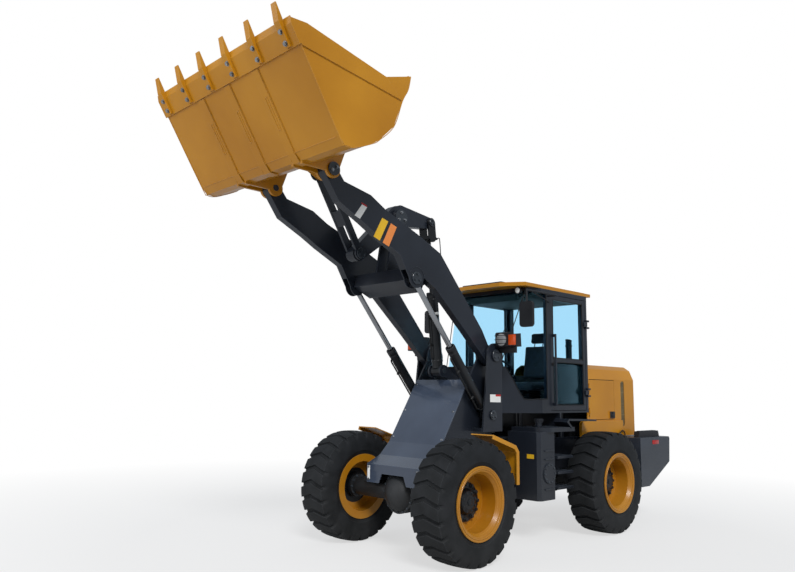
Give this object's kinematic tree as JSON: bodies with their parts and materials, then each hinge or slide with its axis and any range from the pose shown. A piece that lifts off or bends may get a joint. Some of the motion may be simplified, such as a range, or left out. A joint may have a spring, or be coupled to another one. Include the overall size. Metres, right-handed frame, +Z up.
{
  "type": "articulated wheel loader",
  "caption": "Articulated wheel loader with a toothed bucket held high on a Z-bar linkage, a glazed cab, a rear engine hood and four lugged tyres.",
  "frame": {"origin": "middle of the bounding box at ground level", "axes": "+X forward to the bucket, +Y to the operator's left, +Z up"},
  "size_m": [7.503, 2.48, 5.1506],
  "materials": {
    "slate_paint": "satin",
    "yellow_paint": "gloss",
    "black_paint": "satin",
    "tyre_rubber": "matte",
    "chrome": "polished",
    "steel": "machined",
    "tinted_glass": "clear",
    "seat_fabric": "woven",
    "cast_iron": "cast",
    "lamp_housing": "moulded"
  },
  "bodies": {
    "rear_frame": {"rear_frame": "slate_paint", "rear_axle": "cast_iron", "counterweight": "cast_iron", "fuel_tank": "slate_paint", "hydraulic_tank": "slate_paint", "deck": "slate_paint", "steps": "slate_paint", "rear_fenders": "yellow_paint", "hood": "yellow_paint", "rear_grille": "black_paint", "engine": "cast_iron", "radiator": "black_paint", "exhaust": "black_paint", "cab_shell": "slate_paint", "cab_roof": "yellow_paint", "cab_glass": "tinted_glass", "seat": "seat_fabric", "controls": "lamp_housing", "mirrors": "lamp_housing", "roof_lamps": "lamp_housing", "rear_lamps": "lamp_housing", "pivot_pins": "steel"},
    "hood_door_left": {"hood_door_left": "yellow_paint"},
    "hood_door_right": {"hood_door_right": "yellow_paint"},
    "cab_door": {"cab_door": "slate_paint", "door_glass": "tinted_glass"},
    "front_frame": {"front_frame": "slate_paint", "front_cover": "slate_paint", "front_axle": "cast_iron", "front_fenders": "yellow_paint", "head_lamps": "lamp_housing", "boom_pins": "steel"},
    "boom": {"boom": "slate_paint"},
    "bucket_pins": {"bucket_pins": "steel"},
    "bucket": {"bucket": "yellow_paint", "bucket_teeth": "yellow_paint"},
    "rocker_pin": {"rocker_pin": "steel"},
    "rocker": {"rocker": "slate_paint"},
    "link_pin": {"link_pin": "steel"},
    "link": {"link": "slate_paint"},
    "lift_barrels": {"lift_barrels": "black_paint"},
    "lift_rods": {"lift_rods": "chrome"},
    "tilt_pin": {"tilt_pin": "steel"},
    "tilt_barrel": {"tilt_barrel": "black_paint"},
    "tilt_sleeve": {"tilt_sleeve": "black_paint"},
    "tilt_rod": {"tilt_rod": "chrome"},
    "steer_barrel_left": {"steer_barrel_left": "black_paint"},
    "steer_barrel_right": {"steer_barrel_right": "black_paint"},
    "steer_rod_left": {"steer_rod_left": "chrome"},
    "steer_rod_right": {"steer_rod_right": "chrome"},
    "wheel_front_left": {"wheel_front_left_tyre": "tyre_rubber", "wheel_front_left_rim": "yellow_paint"},
    "wheel_front_right": {"wheel_front_right_tyre": "tyre_rubber", "wheel_front_right_rim": "yellow_paint"},
    "wheel_rear_left": {"wheel_rear_left_tyre": "tyre_rubber", "wheel_rear_left_rim": "yellow_paint"},
    "wheel_rear_right": {"wheel_rear_right_tyre": "tyre_rubber", "wheel_rear_right_rim": "yellow_paint"}
  },
  "joints": [
    {"name": "articulation", "type": "hinge", "parent": "rear_frame", "child": "front_frame", "pos_m": [-0.50149, 0, 0.66], "axis": [0, 0, 1], "range_deg": [-35, 35]},
    {"name": "wheel_front_left_spin", "type": "hinge", "parent": "front_frame", "child": "wheel_front_left", "pos_m": [0.94851, 0.925, 0.66], "axis": [0, 1, 0], "continuous": true},
    {"name": "wheel_front_right_spin", "type": "hinge", "parent": "front_frame", "child": "wheel_front_right", "pos_m": [0.94851, -0.925, 0.66], "axis": [0, 1, 0], "continuous": true},
    {"name": "wheel_rear_left_spin", "type": "hinge", "parent": "rear_frame", "child": "wheel_rear_left", "pos_m": [-1.95149, 0.925, 0.66], "axis": [0, 1, 0], "continuous": true},
    {"name": "wheel_rear_right_spin", "type": "hinge", "parent": "rear_frame", "child": "wheel_rear_right", "pos_m": [-1.95149, -0.925, 0.66], "axis": [0, 1, 0], "continuous": true},
    {"name": "boom_lift", "type": "hinge", "parent": "front_frame", "child": "boom", "pos_m": [-0.00149, 0, 2.268], "axis": [0, -1, 0], "range_deg": [-70, 0]},
    {"name": "bucket_level", "type": "hinge", "parent": "boom", "child": "bucket_pins", "pos_m": [2.61251, 0, 4.028], "axis": [0, -1, 0], "range_deg": [0, 58.83]},
    {"name": "bucket_tilt", "type": "hinge", "parent": "bucket_pins", "child": "bucket", "pos_m": [2.61251, 0, 4.028], "axis": [0, 1, 0], "range_deg": [0, 102]},
    {"name": "rocker_level", "type": "hinge", "parent": "boom", "child": "rocker_pin", "pos_m": [1.17251, 0, 3.868], "axis": [0, -1, 0], "range_deg": [-19.72, 0]},
    {"name": "rocker_turn", "type": "hinge", "parent": "rocker_pin", "child": "rocker", "pos_m": [1.17251, 0, 3.868], "axis": [0, -1, 0], "range_deg": [0, 37.64]},
    {"name": "link_level", "type": "hinge", "parent": "bucket", "child": "link_pin", "pos_m": [2.30177, 0, 4.19184], "axis": [0, -1, 0], "range_deg": [-71.97, 0]},
    {"name": "link_turn", "type": "hinge", "parent": "link_pin", "child": "link", "pos_m": [2.30177, 0, 4.19184], "axis": [0, -1, 0], "range_deg": [0, 80.62]},
    {"name": "lift_cylinder_swing", "type": "hinge", "parent": "front_frame", "child": "lift_barrels", "pos_m": [0.05851, 0, 1.548], "axis": [0, -1, 0], "range_deg": [-60.77, 0]},
    {"name": "lift_rod_stroke", "type": "slide", "parent": "lift_barrels", "child": "lift_rods", "axis": [0.6468, 0, 0.7627], "range_m": [-0.78232, 0]},
    {"name": "tilt_cylinder_swing", "type": "hinge", "parent": "front_frame", "child": "tilt_pin", "pos_m": [0.38651, 0, 2.074], "axis": [0, -1, 0], "range_deg": [-74.86, 0]},
    {"name": "tilt_cylinder_nod", "type": "hinge", "parent": "tilt_pin", "child": "tilt_barrel", "pos_m": [0.38651, 0, 2.074], "axis": [0, -1, 0], "range_deg": [-4.03, 0]},
    {"name": "tilt_sleeve_stroke", "type": "slide", "parent": "tilt_barrel", "child": "tilt_sleeve", "axis": [0.1202, 0, 0.9928], "range_m": [-0.32996, 0]},
    {"name": "tilt_rod_stroke", "type": "slide", "parent": "tilt_sleeve", "child": "tilt_rod", "axis": [0.1202, 0, 0.9928], "range_m": [-0.33385, 0]},
    {"name": "steer_cylinder_swing_left", "type": "hinge", "parent": "rear_frame", "child": "steer_barrel_left", "pos_m": [-1.06149, 0.17, 0.91], "axis": [0, 0, 1], "range_deg": [-12.58, 12.58]},
    {"name": "steer_rod_stroke_left", "type": "slide", "parent": "steer_barrel_left", "child": "steer_rod_left", "axis": [0.9954, 0.0959, 0], "range_m": [-0.13993, 0.13993]},
    {"name": "steer_cylinder_swing_right", "type": "hinge", "parent": "rear_frame", "child": "steer_barrel_right", "pos_m": [-1.06149, -0.17, 0.91], "axis": [0, 0, 1], "range_deg": [-12.58, 12.58]},
    {"name": "steer_rod_stroke_right", "type": "slide", "parent": "steer_barrel_right", "child": "steer_rod_right", "axis": [0.9954, -0.0959, 0], "range_m": [-0.13993, 0.13993]},
    {"name": "cab_door_hinge", "type": "hinge", "parent": "rear_frame", "child": "cab_door", "pos_m": [-1.92749, 0.71, 2.46], "axis": [0, 0, 1], "range_deg": [0, 80]},
    {"name": "hood_door_left_hinge", "type": "hinge", "parent": "rear_frame", "child": "hood_door_left", "pos_m": [-2.05749, 0.654, 1.745], "axis": [0, 0, -1], "range_deg": [0, 75]},
    {"name": "hood_door_right_hinge", "type": "hinge", "parent": "rear_frame", "child": "hood_door_right", "pos_m": [-2.05749, -0.654, 1.745], "axis": [0, 0, 1], "range_deg": [0, 75]}
  ],
  "couplings": [
    {"joint": "bucket_level", "follows": "boom_lift", "ratio": -0.824},
    {"joint": "rocker_level", "follows": "boom_lift", "ratio": 0.2762},
    {"joint": "rocker_turn", "follows": "bucket_tilt", "ratio": 0.3618},
    {"joint": "link_level", "follows": "boom_lift", "ratio": 1.008},
    {"joint": "link_turn", "follows": "bucket_tilt", "ratio": 0.7749},
    {"joint": "lift_cylinder_swing", "follows": "boom_lift", "ratio": 0.8511},
    {"joint": "lift_rod_stroke", "follows": "boom_lift", "m_per_rad": 0.6277},
    {"joint": "tilt_cylinder_swing", "follows": "boom_lift", "ratio": 1.0485},
    {"joint": "tilt_cylinder_nod", "follows": "bucket_tilt", "ratio": -0.0387},
    {"joint": "tilt_sleeve_stroke", "follows": "boom_lift", "m_per_rad": 0.2647},
    {"joint": "tilt_rod_stroke", "follows": "bucket_tilt", "m_per_rad": -0.1838},
    {"joint": "steer_cylinder_swing_left", "follows": "articulation", "ratio": 0.34553},
    {"joint": "steer_rod_stroke_left", "follows": "articulation", "m_per_rad": -0.2201},
    {"joint": "steer_cylinder_swing_right", "follows": "articulation", "ratio": 0.34553},
    {"joint": "steer_rod_stroke_right", "follows": "articulation", "m_per_rad": 0.2201}
  ]
}
